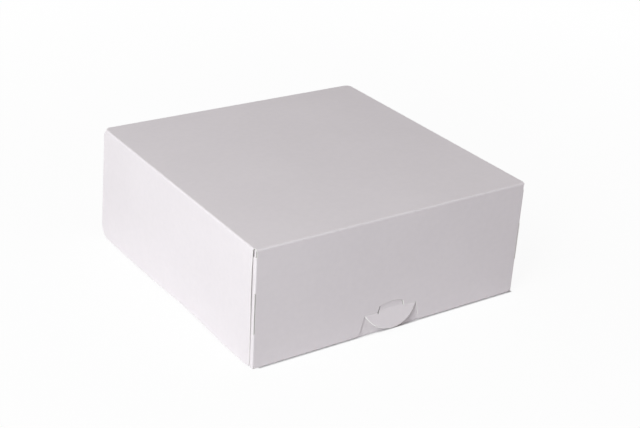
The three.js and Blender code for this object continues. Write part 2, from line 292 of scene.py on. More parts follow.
def pick(kind, test):
    """In edit mode, selects each vertex or edge all of whose points pass the test, and nothing else."""
    bpy.ops.mesh.select_mode(type=kind)
    bpy.ops.mesh.select_all(action="DESELECT")
    mesh = bmesh.from_edit_mesh(bpy.context.edit_object.data)
    for part in mesh.verts if kind == "VERT" else mesh.edges:
        points = [part] if kind == "VERT" else part.verts
        if all(test(v.co) for v in points):
            part.select_set(True)
    bmesh.update_edit_mesh(bpy.context.edit_object.data)


def slice_all(place, normal, **keep):
    """In edit mode, cuts the whole mesh by a plane. keep may clear one side and fill the cut."""
    bpy.ops.mesh.select_mode(type="VERT")
    bpy.ops.mesh.select_all(action="SELECT")
    bpy.ops.mesh.bisect(plane_co=place, plane_no=normal, threshold=SAME, **keep)


print("helpers for edit mode ready")

# %% [markdown]
# ## The pull of the lock
# The real box isn't quite true. The lock pulls the lid's front edge down by about a millimetre, more at
# the left, and the edge stands half a millimetre to the right. It could be built into each panel, but then
# every fold would have to follow. Instead a cage of eight corners holds the whole box, its two upper front
# corners are moved, and each piece is put through it when its shape is finished.

# %% Cage
FRONT_DIP = {"left": 1.1 * MM, "right": 0.5 * MM}  # how far the ends of the lid's front edge are pulled down
FRONT_LEAN = {"left": 0.6 * MM, "right": 0.4 * MM}  # how far they stand to the right

cage_middle = ((left_face + right_face) / 2, (front_face + tray_back) / 2, lid_top / 2)
bpy.ops.object.select_all(action="DESELECT")
bpy.ops.object.add(type="LATTICE", location=cage_middle)
cage = bpy.context.object
cage.scale = (right_face - left_face, tray_back - front_face, lid_top)
for axis in "uvw":
    setattr(cage.data, f"points_{axis}", 2)
    setattr(cage.data, f"interpolation_type_{axis}", "KEY_LINEAR")
for point in cage.data.points:
    if point.co.y < 0 < point.co.z:
        side = "left" if point.co.x < 0 else "right"
        point.co_deform.z -= FRONT_DIP[side] / cage.scale.z
        point.co_deform.x += FRONT_LEAN[side] / cage.scale.x
bpy.context.view_layer.update()
print("cage has", len(cage.data.points), "corners")

# %% [markdown]
# ## From sheet to board
# A panel starts as a sheet without thickness, and Solidify makes it board. It could be a thin block
# instead, but Solidify also follows folds and gives the inside and the cut edge finishes of their own.
# Weighted normals keep the wide faces flat to the eye while the small roundings turn softly.

# %% Helpers for a piece of board
SMOOTH_BELOW = math.radians(35)  # edges that turn less than this are shaded smoothly


def settle(name, finishes=SHEET):
    """Names the primitive just added, puts its place and size into its mesh and gives it its finishes."""
    obj = bpy.context.object
    obj.name = obj.data.name = name
    bpy.ops.object.transform_apply(location=True, rotation=True, scale=True)
    for finish in finishes:
        obj.data.materials.append(finish)
    return obj


def thicken(obj):
    """Thickens a sheet inwards. The inside takes the second finish and the cut edge the third."""
    only(obj)
    layer = obj.modifiers.new("board", "SOLIDIFY")
    layer.thickness = BOARD
    layer.offset = -1
    layer.material_offset = 1
    layer.material_offset_rim = 2
    bpy.ops.object.modifier_apply(modifier=layer.name)


def smooth(obj):
    """Lets the lock pull on a finished shape, then shades it smoothly with its wide faces leading."""
    only(obj)
    pull = obj.modifiers.new("pull of the lock", "LATTICE")
    pull.object = cage
    bpy.ops.object.modifier_apply(modifier=pull.name)
    bpy.ops.object.shade_smooth_by_angle(angle=SMOOTH_BELOW)
    lead = obj.modifiers.new("flat faces lead", "WEIGHTED_NORMAL")
    lead.keep_sharp = True
    bpy.ops.object.modifier_apply(modifier=lead.name)


def place_piece(obj, body, slot, *nodes):
    """Lets a piece ride on its body, in place of its CAD nodes."""
    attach(obj, body)
    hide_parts(*nodes)
    print(obj.name, len(obj.data.vertices), "points, on", body)


print("the board is", round(BOARD / MM, 2), "mm thick")

# %% [markdown]
# ## Tray floor and its four folds
# The floor is a plain panel that the cake stands on. Its four edges turn up into the walls through soft
# folds. A fold could be a bevelled corner of one big sheet, but the tray is made of separate panels, so
# each fold is a quarter of a tube that meets both panels flush.

# %% Tray floor
floor_x = tray_right - TRAY_FOLD
floor_y = tray_back - TRAY_FOLD
bpy.ops.object.select_all(action="DESELECT")
bpy.ops.mesh.primitive_plane_add(size=1, location=(0, 0, 0), rotation=(math.radians(180), 0, 0))
bpy.context.object.scale = (2 * floor_x, 2 * floor_y, 1)
floor_board = settle("floor_board")
thicken(floor_board)
smooth(floor_board)
place_piece(floor_board, "tray", "coated_board", "floor_panel")

# %% Floor folds
FOLD_STEPS = 8  # straight steps in a quarter turn
OUT = {"front": (0, -1, 0), "back": (0, 1, 0), "left": (-1, 0, 0), "right": (1, 0, 0)}
UP = (0, 0, 1)
DOWN = (0, 0, -1)


def fold_strip(name, along, middle, length, radius, outward):
    """The board where it turns a corner: a quarter of a tube, on the side of both outward directions."""
    turn = {"X": (0, math.radians(90), 0), "Y": (math.radians(90), 0, 0)}[along]
    bpy.ops.object.select_all(action="DESELECT")
    bpy.ops.mesh.primitive_cylinder_add(
        vertices=4 * FOLD_STEPS, radius=radius, depth=length, end_fill_type="NOTHING",
        location=middle, rotation=turn)
    strip = settle(name, (creased[along], uncoated_board, cut_board_edge))
    edit(strip)
    for direction in outward:
        slice_all(middle, direction, clear_inner=True)
    leave_edit()
    thicken(strip)
    smooth(strip)
    return strip


floor_folds = {
    "front": ("X", (0, tray_front + TRAY_FOLD, TRAY_FOLD), 2 * floor_x),
    "back": ("X", (0, tray_back - TRAY_FOLD, TRAY_FOLD), 2 * floor_x),
    "left": ("Y", (tray_left + TRAY_FOLD, 0, TRAY_FOLD), 2 * floor_y),
    "right": ("Y", (tray_right - TRAY_FOLD, 0, TRAY_FOLD), 2 * floor_y),
}
for side, (along, middle, length) in floor_folds.items():
    strip = fold_strip(f"{side}_floor_fold", along, middle, length, TRAY_FOLD, (OUT[side], DOWN))
    place_piece(strip, "tray", "creased_board", f"{side}_floor_crease")

# %% [markdown]
# ## Cutting panels
# A die cuts the real panels, so holes and notches are cut with blocks here too. They could be modelled
# point by point, but a cut is quicker to change. The cut edges are then rounded by a hair, because board
# isn't metal.

# %% An upright panel
TURNS = {"front": 0, "right": 90, "back": 180, "left": -90}  # degrees about Z from the front


def upright_sheet(name, side, low, high):
    """An upright plane between two corners, with its face looking out of that side of the box."""
    low, high = Vector(low), Vector(high)
    size = high - low
    turn = (math.radians(90), 0, math.radians(TURNS[side]))
    bpy.ops.object.select_all(action="DESELECT")
    bpy.ops.mesh.primitive_plane_add(size=1, location=(low + high) / 2, rotation=turn)
    bpy.context.object.scale = (max(size.x, size.y), size.z, 1)
    return settle(name)


print("a panel can look out of the", list(TURNS))

# %% Cutters
CUT_REACH = 5 * MM  # how far a cutter stands out from the board's face, to the front and to the back


def cutting_block(low, high):
    """A block between two corners, to cut with."""
    low, high = Vector(low), Vector(high)
    bpy.ops.object.select_all(action="DESELECT")
    bpy.ops.mesh.primitive_cube_add(size=1, location=(low + high) / 2)
    bpy.context.object.scale = high - low
    return settle("cutter")


def combine(obj, other, how):
    """Cuts one shape out of another, or makes two shapes one, and takes the second one away."""
    only(obj)
    tool = obj.modifiers.new("combine", "BOOLEAN")
    tool.operation = how
    tool.solver = "EXACT"
    tool.object = other
    bpy.ops.object.modifier_apply(modifier=tool.name)
    bpy.data.objects.remove(other)


print("cutters reach", CUT_REACH / MM, "mm past the board")

# %% Cut edges
CUT_ROUND = 0.22 * MM  # how far a die-cut edge is rounded over
SHARP = math.radians(40)  # edges that turn more than this are cuts
SEAM_REACH = 0.06 * MM  # an edge this close to a seam lies in it
FACING = 0.8  # from this share of its normal on, a face looks that way


def mark_finishes(obj, outward):
    """Gives each face its finish by the way it looks: out of the box, into it, or across the cut."""
    for face in obj.data.polygons:
        out = face.normal.dot(Vector(outward))
        face.material_index = 0 if out > FACING else 1 if out < -FACING else 2


def soften_cuts(obj, seams):
    """Rounds the cut edges by a hair. Edges in a seam stay square to meet a fold.

    A seam is a pair of an axis, 0 for X, 1 for Y and 2 for Z, and the place of a fold on it.
    """
    edit(obj)
    bpy.ops.mesh.select_mode(type="EDGE")
    bpy.ops.mesh.select_all(action="DESELECT")
    bpy.ops.mesh.edges_select_sharp(sharpness=SHARP)
    mesh = bmesh.from_edit_mesh(obj.data)
    for edge in mesh.edges:
        in_seam = [all(abs(v.co[axis] - place) < SEAM_REACH for v in edge.verts) for axis, place in seams]
        if edge.select and any(in_seam):
            edge.select_set(False)
    bmesh.update_edit_mesh(obj.data)
    bpy.ops.mesh.bevel(offset=CUT_ROUND, segments=3, affect="EDGES", clamp_overlap=True)
    leave_edit()


print("cut edges are rounded by", CUT_ROUND / MM, "mm")

# %% [markdown]
# ## Tray walls
# Four upright panels. The front one has a slot with round corners, where the lock's tongue goes in. The
# slot is cut with a rounded block, as a die cuts it, because a panel with a hole can't come from one
# plane.

# %% Tray walls
wall_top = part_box("front_wall")[1].z
glue_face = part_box("front_right_glue_flap")[1].x  # the face that is glued to a side wall
wide_half = glue_face - TRAY_FOLD  # the front and back walls end at their glue flaps' folds
deep_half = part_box("left_wall")[1].y
wall_corners = {
    "front": ((-wide_half, tray_front, TRAY_FOLD), (wide_half, tray_front, wall_top)),
    "back": ((-wide_half, tray_back, TRAY_FOLD), (wide_half, tray_back, flap_seam)),
    "left": ((tray_left, -deep_half, TRAY_FOLD), (tray_left, deep_half, wall_top)),
    "right": ((tray_right, -deep_half, TRAY_FOLD), (tray_right, deep_half, wall_top)),
}
walls = {}
for side, (low, high) in wall_corners.items():
    walls[side] = upright_sheet(f"{side}_wall_board", side, low, high)
    thicken(walls[side])
print("walls:", list(walls))

# %% Slot in the front wall
SLOT_HALF = 14.2 * MM  # half the slot's width
SLOT_FOOT = 17.5 * MM  # height of its lower edge
SLOT_HEAD = 34.2 * MM  # height of its upper edge, so high that the tongue swings out with the lid
SLOT_RADIUS = 1 * MM  # radius of its corners

slot_block = cutting_block(
    (-SLOT_HALF, tray_front - CUT_REACH, SLOT_FOOT), (SLOT_HALF, tray_front + CUT_REACH, SLOT_HEAD))
edit(slot_block)
bpy.ops.mesh.select_mode(type="EDGE")
bpy.ops.mesh.select_all(action="DESELECT")
slot_mesh = bmesh.from_edit_mesh(slot_block.data)
for edge in slot_mesh.edges:
    a, b = edge.verts
    edge.select_set(abs(a.co.y - b.co.y) > MM)
bmesh.update_edit_mesh(slot_block.data)
bpy.ops.mesh.bevel(offset=SLOT_RADIUS, segments=6, affect="EDGES")
leave_edit()
combine(walls["front"], slot_block, "DIFFERENCE")
mark_finishes(walls["front"], OUT["front"])
print("front wall has", len(walls["front"].data.polygons), "faces")

# %% Finished walls
for side, wall in walls.items():
    ends = [(0, -wide_half), (0, wide_half)] if side in ("front", "back") else []
    top = [(2, flap_seam)] if side == "back" else []
    soften_cuts(wall, [(2, TRAY_FOLD), *ends, *top])
    smooth(wall)
    place_piece(wall, "tray", "coated_board", f"{side}_wall")

# %% [markdown]
# ## Glue flaps
# Each end of the front and back walls turns in through a fold and is glued inside a side wall. The fold
# could be a strip of its own like the floor's, but nothing moves here, so it is spun from the flap's own
# edge and the board runs through without a break.

# %% Helpers for a sheet with a fold
def turn_edge(test, centre, degrees):
    """In edit mode, spins the edges that pass the test about an upright line, which makes a fold."""
    pick("EDGE", test)
    bpy.ops.mesh.spin(steps=FOLD_STEPS, angle=math.radians(degrees), center=centre, axis=UP)


def tidy_sheet(obj, outward, tells):
    """Merges doubles and turns the sheet outwards. tells picks a flat face that shows which way it looks."""
    edit(obj)
    bpy.ops.mesh.select_all(action="SELECT")
    bpy.ops.mesh.remove_doubles(threshold=SAME)
    bpy.ops.mesh.normals_make_consistent(inside=False)
    leave_edit()
    flat = next(f for f in obj.data.polygons if tells(f.center))
    if flat.normal.dot(Vector(outward)) < 0:
        edit(obj)
        bpy.ops.mesh.select_all(action="SELECT")
        bpy.ops.mesh.flip_normals()
        leave_edit()


print("a fold has", FOLD_STEPS, "steps")

# %% Glue flaps
GLUE_FLAP_SLANT = 8 * MM  # how much shorter the free end is, above and below
CORNERS = ("front_left", "front_right", "back_left", "back_right")
SIGNS = {"left": -1, "right": 1}

for corner in CORNERS:
    end, side = corner.split("_")
    sign = SIGNS[side]
    low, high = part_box(f"{corner}_glue_flap")
    middle_z = (low.z + high.z) / 2
    face = sign * glue_face
    near = tray_front + TRAY_FOLD if end == "front" else tray_back - TRAY_FOLD
    far = high.y if end == "front" else low.y
    flap = upright_sheet(
        f"{corner}_glue_board", side, (face, min(near, far), low.z), (face, max(near, far), high.z))
    edit(flap)
    pick("VERT", lambda p: abs(p.y - far) < MM and p.z > middle_z)
    bpy.ops.transform.translate(value=(0, 0, -GLUE_FLAP_SLANT))
    pick("VERT", lambda p: abs(p.y - far) < MM and p.z < middle_z)
    bpy.ops.transform.translate(value=(0, 0, GLUE_FLAP_SLANT))
    centre = (sign * wide_half, near, middle_z)
    turn_edge(lambda p: abs(p.y - near) < SAME, centre, 90 * sign if end == "front" else -90 * sign)
    leave_edit()
    tidy_sheet(flap, OUT[side], lambda p: abs(p.x - face) < SAME)
    thicken(flap)
    soften_cuts(flap, [(0, centre[0])])
    smooth(flap)
    place_piece(flap, "tray", "coated_board", f"{corner}_glue_flap", f"{corner}_glue_flap_crease")

# %% [markdown]
# ## Lid
# The lid's top is a plain panel with small round corners at the back. It runs through folds into its three
# flaps and, at the back, into the tray's rear wall. All of it could be one bent sheet, but the flaps move,
# so each panel and each fold is a piece. The folds are built where they stand and are put on no body.

# %% Lid top
LID_CORNER = 3 * MM  # radius of the two rear corners

lid_left = left_face + LID_FOLD
lid_right = right_face - LID_FOLD
lid_front = front_face + LID_FOLD
lid_rear = tray_back - LID_FOLD
lid_middle = (lid_left + lid_right) / 2
bpy.ops.object.select_all(action="DESELECT")
bpy.ops.mesh.primitive_plane_add(size=1, location=(lid_middle, (lid_front + lid_rear) / 2, lid_top))
bpy.context.object.scale = (lid_right - lid_left, lid_rear - lid_front, 1)
lid_board = settle("lid_board")
edit(lid_board)
pick("VERT", lambda p: p.y > 0)
bpy.ops.mesh.bevel(offset=LID_CORNER, segments=6, affect="VERTICES")
leave_edit()
thicken(lid_board)
soften_cuts(lid_board, [(0, lid_left), (0, lid_right), (1, lid_front), (1, lid_rear)])
smooth(lid_board)
place_piece(lid_board, "lid", "coated_board", "lid_panel")


def hinged_fold(name, along, middle, length, out, bodies, node):
    """A fold between the lid and a panel below it. bodies names the lid's body and the panel's."""
    strip = fold_strip(name, along, middle, length, LID_FOLD, (out, UP))
    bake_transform(strip)
    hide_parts(node)
    print(strip.name, len(strip.data.vertices), "points, bends between", bodies)


side_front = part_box("left_flap_crease")[0].y
side_rear = lid_rear - LID_CORNER
side_middle = (side_front + side_rear) / 2
side_length = side_rear - side_front
hinged_fold(
    "front_fold", "X", (lid_middle, lid_front, flap_seam), lid_right - lid_left, OUT["front"],
    ("lid", "front_flap"), "front_flap_crease")
hinged_fold(
    "left_fold", "Y", (lid_left, side_middle, flap_seam), side_length, OUT["left"],
    ("lid", "left_flap"), "left_flap_crease")
hinged_fold(
    "right_fold", "Y", (lid_right, side_middle, flap_seam), side_length, OUT["right"],
    ("lid", "right_flap"), "right_flap_crease")
hinged_fold(
    "lid_hinge_fold", "X", (0, lid_rear, flap_seam), 2 * wide_half, OUT["back"],
    ("lid", "tray"), "lid_hinge_crease")

# %% [markdown]
# ## Side flaps
# The side flaps hang free, so the board's spring shows in them: the left one stands out at its rear foot,
# lies close to the tray near the front and bulges a little at its front edge. Each upright line of the
# flap swings out about its fold by its own angle. A bend modifier would curve the whole flap one way only,
# so the lines are turned one by one.

# %% How the side flaps bow
FLARE = {  # how far the foot stands out, in mm, at places from the front end (0) to the rear end (1)
    "left": (
        (0.0, -0.15), (0.05, 0.1), (0.12, 0.7), (0.22, 0.7), (0.32, 0.1), (0.42, 0.1), (0.52, 1.4),
        (0.62, 2.8), (0.75, 3.6), (0.88, 4.4), (1.0, 4.9)),
    "right": ((0.0, 0.9), (0.35, 0.5), (0.65, 1.4), (1.0, 2.6)),
}
BULGE = {"left": 0.6, "right": 0.0}  # how far the front edge bulges, in mm
BULGE_END = 0.3  # where the bulge has died away, from the front end (0) to the rear end (1)


def flare_at(side, share):
    """The flare at a place between two of the listed ones, eased so that no line kinks."""
    marks = FLARE[side]
    for (a, x), (b, y) in zip(marks, marks[1:]):
        if share <= b:
            t = (share - a) / (b - a)
            return x + (y - x) * t * t * (3 - 2 * t)
    return marks[-1][1]


print("left foot stands out by", round(flare_at("left", 0.5), 2), "mm half way along")

# %% Side flaps, cut to shape
FRONT_FOOT_RADIUS = 5 * MM  # radius of a side flap's lower front corner
REAR_FOOT_RADIUS = 12 * MM  # radius of its lower rear corner
FLAP_COLUMNS = 24
FLAP_ROWS = 8

flap_faces = {"left": left_face, "right": right_face}
flap_rows = {}  # heights of the level lines in each flap
side_flaps = {}
for side, face in flap_faces.items():
    low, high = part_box(f"{side}_flap")
    flap = upright_sheet(f"{side}_flap_board", side, (face, low.y, low.z), (face, high.y, flap_seam))
    edit(flap)
    pick("VERT", lambda p: p.y < 0 and p.z < low.z + MM)
    bpy.ops.mesh.bevel(offset=FRONT_FOOT_RADIUS, segments=8, affect="VERTICES")
    pick("VERT", lambda p: p.y > high.y - MM and p.z < low.z + MM)
    bpy.ops.mesh.bevel(offset=REAR_FOOT_RADIUS, segments=8, affect="VERTICES")
    pick("VERT", lambda p: p.y > high.y - MM and p.z > flap_seam - MM)
    bpy.ops.mesh.bevel(offset=LID_CORNER, segments=1, affect="VERTICES")
    for i in range(1, FLAP_COLUMNS):
        slice_all((0, low.y + (high.y - low.y) * i / FLAP_COLUMNS, 0), (0, 1, 0))
    flap_rows[side] = [low.z + (flap_seam - low.z) * i / FLAP_ROWS for i in range(1, FLAP_ROWS)]
    for z in flap_rows[side]:
        slice_all((0, 0, z), UP)
    leave_edit()
    side_flaps[side] = flap
print("flat flaps have", [len(flap.data.vertices) for flap in side_flaps.values()], "points")

# %% Side flaps, bowed
ROW_REACH = 0.5 * MM  # a row's points stay this close to its height when they swing out

for side, flap in side_flaps.items():
    sign = SIGNS[side]
    low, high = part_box(f"{side}_flap")
    height = flap_seam - low.z
    lines = sorted({round(v.co.y, 6) for v in flap.data.vertices})
    edit(flap)
    for y in lines:
        share = (y - low.y) / (high.y - low.y)
        angle = math.atan2(flare_at(side, share) * MM, height)
        pick("VERT", lambda p: abs(p.y - y) < 2 * SAME)
        bpy.ops.transform.rotate(
            value=sign * angle, orient_axis="Y", orient_type="GLOBAL",
            center_override=(flap_faces[side], y, flap_seam))
        bulge = BULGE[side] * max(0, 1 - share / BULGE_END) * MM
        if bulge == 0:
            continue
        for z in flap_rows[side]:
            pick("VERT", lambda p: abs(p.y - y) < 2 * SAME and abs(p.z - z) < ROW_REACH)
            out = bulge * math.sin(math.pi * ((z - low.z) / height) ** 2)
            bpy.ops.transform.translate(value=(sign * out, 0, 0))
    leave_edit()
    thicken(flap)
    soften_cuts(flap, [(2, flap_seam)])
    smooth(flap)
    place_piece(flap, f"{side}_flap", "coated_board", f"{side}_flap")

# %% [markdown]
# ## Front flap
# A plain panel with a notch for the lock tab, and above it the low arch that the tongue is cut from. The
# outline could be drawn point by point, but two cutters keep each size in one place: a tapered block for
# the notch, and a slice of a cylinder between two leaning planes for the arch.

# %% The arch of the lock
DISC_STEPS = 160  # straight steps around a disc
TAB_CREASE = 18.6 * MM  # height of the lock tab's crease
ARCH_HALF = 12.8 * MM  # half the arch's width at the crease
ARCH_LEG = 5.5 * MM  # height of its straight sides
ARCH_LEAN = 1.5 * MM  # how far each side leans in over that height
ARCH_RISE = 2.1 * MM  # height of the round top above the sides
ARCH_RADIUS = ((ARCH_HALF - ARCH_LEAN) ** 2 + ARCH_RISE ** 2) / (2 * ARCH_RISE)


def arch_slab(name, gaps, depth, foot):
    """A slab with leaning sides and a low round top, smaller than the arch by gaps: left, top, right."""
    left, top, right = gaps
    centre = (0, front_face + BOARD / 2, TAB_CREASE + ARCH_LEG + ARCH_RISE - ARCH_RADIUS)
    bpy.ops.object.select_all(action="DESELECT")
    bpy.ops.mesh.primitive_cylinder_add(
        vertices=DISC_STEPS, radius=ARCH_RADIUS - top, depth=depth, location=centre,
        rotation=(math.radians(90), 0, 0))
    slab = settle(name)
    edit(slab)
    for sign, gap in ((-1, left), (1, right)):
        slice_all(
            (sign * (ARCH_HALF - gap), 0, TAB_CREASE), (sign * ARCH_LEG, 0, ARCH_LEAN),
            clear_outer=True, use_fill=True)
    slice_all((0, 0, foot), UP, clear_inner=True, use_fill=True)
    leave_edit()
    return slab


print("the arch's top is a piece of a circle of", round(ARCH_RADIUS / MM, 1), "mm radius")

# %% Front flap with its notch and arch
NOTCH_TOP = 19.0 * MM  # height of the notch's upper edge
NOTCH_TOP_HALF = 25.6 * MM  # half its width there
NOTCH_SPLAY = 3.4 / 14.3  # how fast each side leans out on its way down
FLAP_CORNER = 2 * MM  # radius of the flap's lower corners

flap_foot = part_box("front_flap")[0].z
flap_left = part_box("left_ear")[0].x + TRAY_FOLD  # the flap ends where its ears' folds start
flap_right = LID_SPREAD - flap_left
front_flap_board = upright_sheet(
    "front_flap_board", "front", (flap_left, front_face, flap_foot), (flap_right, front_face, flap_seam))
edit(front_flap_board)
pick("VERT", lambda p: p.z < TAB_CREASE)
bpy.ops.mesh.bevel(offset=FLAP_CORNER, segments=4, affect="VERTICES")
leave_edit()
thicken(front_flap_board)

notch_foot = -CUT_REACH
notch_block = cutting_block(
    (-NOTCH_TOP_HALF, front_face - CUT_REACH, notch_foot),
    (NOTCH_TOP_HALF, front_face + CUT_REACH, NOTCH_TOP))
notch_foot_half = NOTCH_TOP_HALF + NOTCH_SPLAY * (NOTCH_TOP - notch_foot)
edit(notch_block)
pick("VERT", lambda p: p.z < 0)
bpy.ops.transform.resize(value=(notch_foot_half / NOTCH_TOP_HALF, 1, 1), center_override=(0, 0, 0))
leave_edit()
combine(front_flap_board, notch_block, "DIFFERENCE")
arch_block = arch_slab("arch_cutter", (0, 0, 0), 2 * CUT_REACH, NOTCH_TOP - MM)
combine(front_flap_board, arch_block, "DIFFERENCE")
print("front flap is cut to", len(front_flap_board.data.vertices), "points")

# %% The front flap's cut edges
NOTCH_FLARE = 3.4 * MM  # how far the notch's lower corners are rounded off
LEG_CRUSH = 0.75 * MM  # the tongue has crushed the arch's right edge slantwise over this width
NEAR = 0.05 * MM  # a point this close to a line belongs to it
TOUCH = 0.01 * MM  # a point this close to a face lies in it


def on_right_leg(p):
    """Tells whether a point lies on the arch's right leg, in the flap's front face."""
    leg_x = ARCH_HALF - (p.z - TAB_CREASE) * ARCH_LEAN / ARCH_LEG
    leg_top = TAB_CREASE + ARCH_LEG + 2 * NEAR
    return p.y < front_face + TOUCH and NOTCH_TOP - TOUCH < p.z < leg_top and abs(p.x - leg_x) < NEAR


edit(front_flap_board)
notch_corner = NOTCH_TOP_HALF + NOTCH_SPLAY * (NOTCH_TOP - flap_foot)
pick("EDGE", lambda p: abs(abs(p.x) - notch_corner) < NEAR and p.z < flap_foot + NEAR)
bpy.ops.mesh.bevel(offset=NOTCH_FLARE, segments=6, affect="EDGES")
pick("VERT", on_right_leg)
bpy.ops.transform.translate(value=(LEG_CRUSH, 0, 0))
crushed = [v for v in bmesh.from_edit_mesh(front_flap_board.data).verts if v.select]
print("crushed edge has", len(crushed), "corners")
leave_edit()
soften_cuts(front_flap_board, [(2, flap_seam), (0, flap_left), (0, flap_right)])
mark_finishes(front_flap_board, OUT["front"])
smooth(front_flap_board)
place_piece(front_flap_board, "front_flap", "coated_board", "front_flap")

# %% [markdown]
# ## Ears
# The front flap's ends turn back through folds into two ears, tucked between the side flaps and the tray.
# Half way up, the fold is slit through so that it turns easily, and there the ear's cut edge stands level
# with the front face. The folds are spun from the ear's own edge, and the slit's edge is extruded straight
# on.

# %% Ears, cut to shape
EAR_TOP_FALL = 8 * MM  # how much lower the top of the free end is
EAR_FOOT_RISE = 15 * MM  # how much higher its foot is
EAR_RADIUS = 10 * MM  # radius of its corners

ear_fold = front_face + TRAY_FOLD  # where an ear leaves its folds
ear_faces = {"left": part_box("left_ear")[0].x, "right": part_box("right_ear")[1].x + LID_SPREAD}
ears = {}
for side, face in ear_faces.items():
    low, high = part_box(f"{side}_ear")
    middle_z = (low.z + high.z) / 2
    ear = upright_sheet(f"{side}_ear_board", side, (face, ear_fold, low.z), (face, high.y, high.z))
    edit(ear)
    pick("VERT", lambda p: p.y > high.y - MM and p.z > middle_z)
    bpy.ops.transform.translate(value=(0, 0, -EAR_TOP_FALL))
    pick("VERT", lambda p: p.y > high.y - MM and p.z < middle_z)
    bpy.ops.transform.translate(value=(0, 0, EAR_FOOT_RISE))
    pick("VERT", lambda p: p.y > high.y - MM)
    bpy.ops.mesh.bevel(offset=EAR_RADIUS, segments=8, affect="VERTICES")
    leave_edit()
    ears[side] = ear
print("flat ears have", [len(ear.data.vertices) for ear in ears.values()], "points")

# %% Ears, folded
SLIT_GAP = 0.3 * MM  # between a fold and the cut edge beside it

for side, ear in ears.items():
    sign, face = SIGNS[side], ear_faces[side]
    upper_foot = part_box(f"{side}_ear_upper_crease")[0].z
    lower_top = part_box(f"{side}_ear_lower_crease")[1].z
    slit_low, slit_high = lower_top + SLIT_GAP, upper_foot - SLIT_GAP
    edit(ear)
    for z in (lower_top, slit_low, slit_high, upper_foot):
        slice_all((0, 0, z), UP)
    centre = (face - sign * TRAY_FOLD, ear_fold, slit_low)
    turn_edge(lambda p: abs(p.y - ear_fold) < SAME and p.z < lower_top + SAME, centre, 90 * sign)
    turn_edge(lambda p: abs(p.y - ear_fold) < SAME and p.z > upper_foot - SAME, centre, 90 * sign)
    pick("EDGE", lambda p: abs(p.y - ear_fold) < SAME and slit_low - SAME < p.z < slit_high + SAME)
    bpy.ops.mesh.extrude_edges_move(TRANSFORM_OT_translate={"value": (0, front_face - ear_fold, 0)})
    leave_edit()
    tidy_sheet(ear, OUT[side], lambda p: abs(p.x - face) < SAME and p.y > ear_fold)
    thicken(ear)
    soften_cuts(ear, [(0, centre[0])])
    smooth(ear)
    place_piece(
        ear, "front_flap", "coated_board",
        f"{side}_ear", f"{side}_ear_upper_crease", f"{side}_ear_lower_crease")

# %% [markdown]
# ## Lock tab and tongue
# The tab is a slice of a disc below the crease, and the tongue a low arch above it. Both are one flat
# piece of board that rocks on the crease: when the tab stands out, the tongue's root leans in, and above a
# bend the tongue stands upright in the slot of the tray. They could be two pieces, but the board runs
# through. So they are modelled flat in the flap, made one, slit at the tongue's left foot, bent and then
# rocked out.

# %% Lock tab, flat in the flap
TAB_HALF_CHORD = 25.2 * MM  # half the tab's width at the crease
TAB_DEPTH = 15.5 * MM  # from the crease down to the tab's lowest point
TAB_SETBACK = 0.4 * MM  # from the crease's middle down to the tab's upper edge
TONGUE_GAPS = (1.1 * MM, 0.4 * MM, 0.1 * MM)  # left, top, right: it was pushed a little to the right
TONGUE_FOOT = 1.4 * MM  # how far below the crease the slit at the tongue's left foot ends

tab_axis = (0, front_face + BOARD / 2, TAB_CREASE)
tab_radius = (TAB_HALF_CHORD ** 2 + TAB_DEPTH ** 2) / (2 * TAB_DEPTH)
disc_z = TAB_CREASE - TAB_DEPTH + tab_radius  # height of the disc's middle
bpy.ops.object.select_all(action="DESELECT")
bpy.ops.mesh.primitive_cylinder_add(
    vertices=DISC_STEPS, radius=tab_radius, depth=BOARD, rotation=(math.radians(90), 0, 0),
    location=(0, tab_axis[1], disc_z))
lock_tab_board = settle("lock_tab_board")
edit(lock_tab_board)
slice_all((0, 0, TAB_CREASE - TAB_SETBACK), UP, clear_outer=True, use_fill=True)
leave_edit()

tongue = arch_slab("tongue", TONGUE_GAPS, BOARD, TAB_CREASE - 2 * TONGUE_FOOT)
combine(lock_tab_board, tongue, "UNION")
slit = cutting_block(
    (-ARCH_HALF, front_face - MM, TAB_CREASE - TONGUE_FOOT),
    (TONGUE_GAPS[0] - ARCH_HALF, front_face + 2 * MM, TAB_CREASE + MM))
combine(lock_tab_board, slit, "DIFFERENCE")
print("tab and tongue have", len(lock_tab_board.data.vertices), "points")

# %% The tab's edges
TAB_CRUSH = 0.5 * MM  # the tab's lower edge is crushed slantwise, which bares white fibre whose lightness is partly a painted highlight


def on_rim(p):
    """Tells whether a point lies on the tab's round rim, in its front face."""
    return p.y < front_face + TOUCH and abs(math.hypot(p.x, p.z - disc_z) - tab_radius) < NEAR


edit(lock_tab_board)
pick("EDGE", on_rim)
bpy.ops.mesh.bevel(offset=TAB_CRUSH, segments=1, affect="EDGES")
leave_edit()
soften_cuts(lock_tab_board, [(1, front_face + TAB_CRUSH), (1, front_face + BOARD)])
mark_finishes(lock_tab_board, OUT["front"])
print("with soft edges they have", len(lock_tab_board.data.vertices), "points")

# %% Lock tab, bent and rocked out
TAB_KICK = math.radians(18.5)  # how far the tab stands out
TONGUE_BEND = 1.8 * MM  # height of the bend above the crease
TONGUE_TILT = math.radians(2)  # how far the tongue still leans in above its bend
BEND_HALF = 0.25 * MM  # half the height over which the board bends
BEND_REACH = 0.1 * MM  # takes in the points of the bend line itself

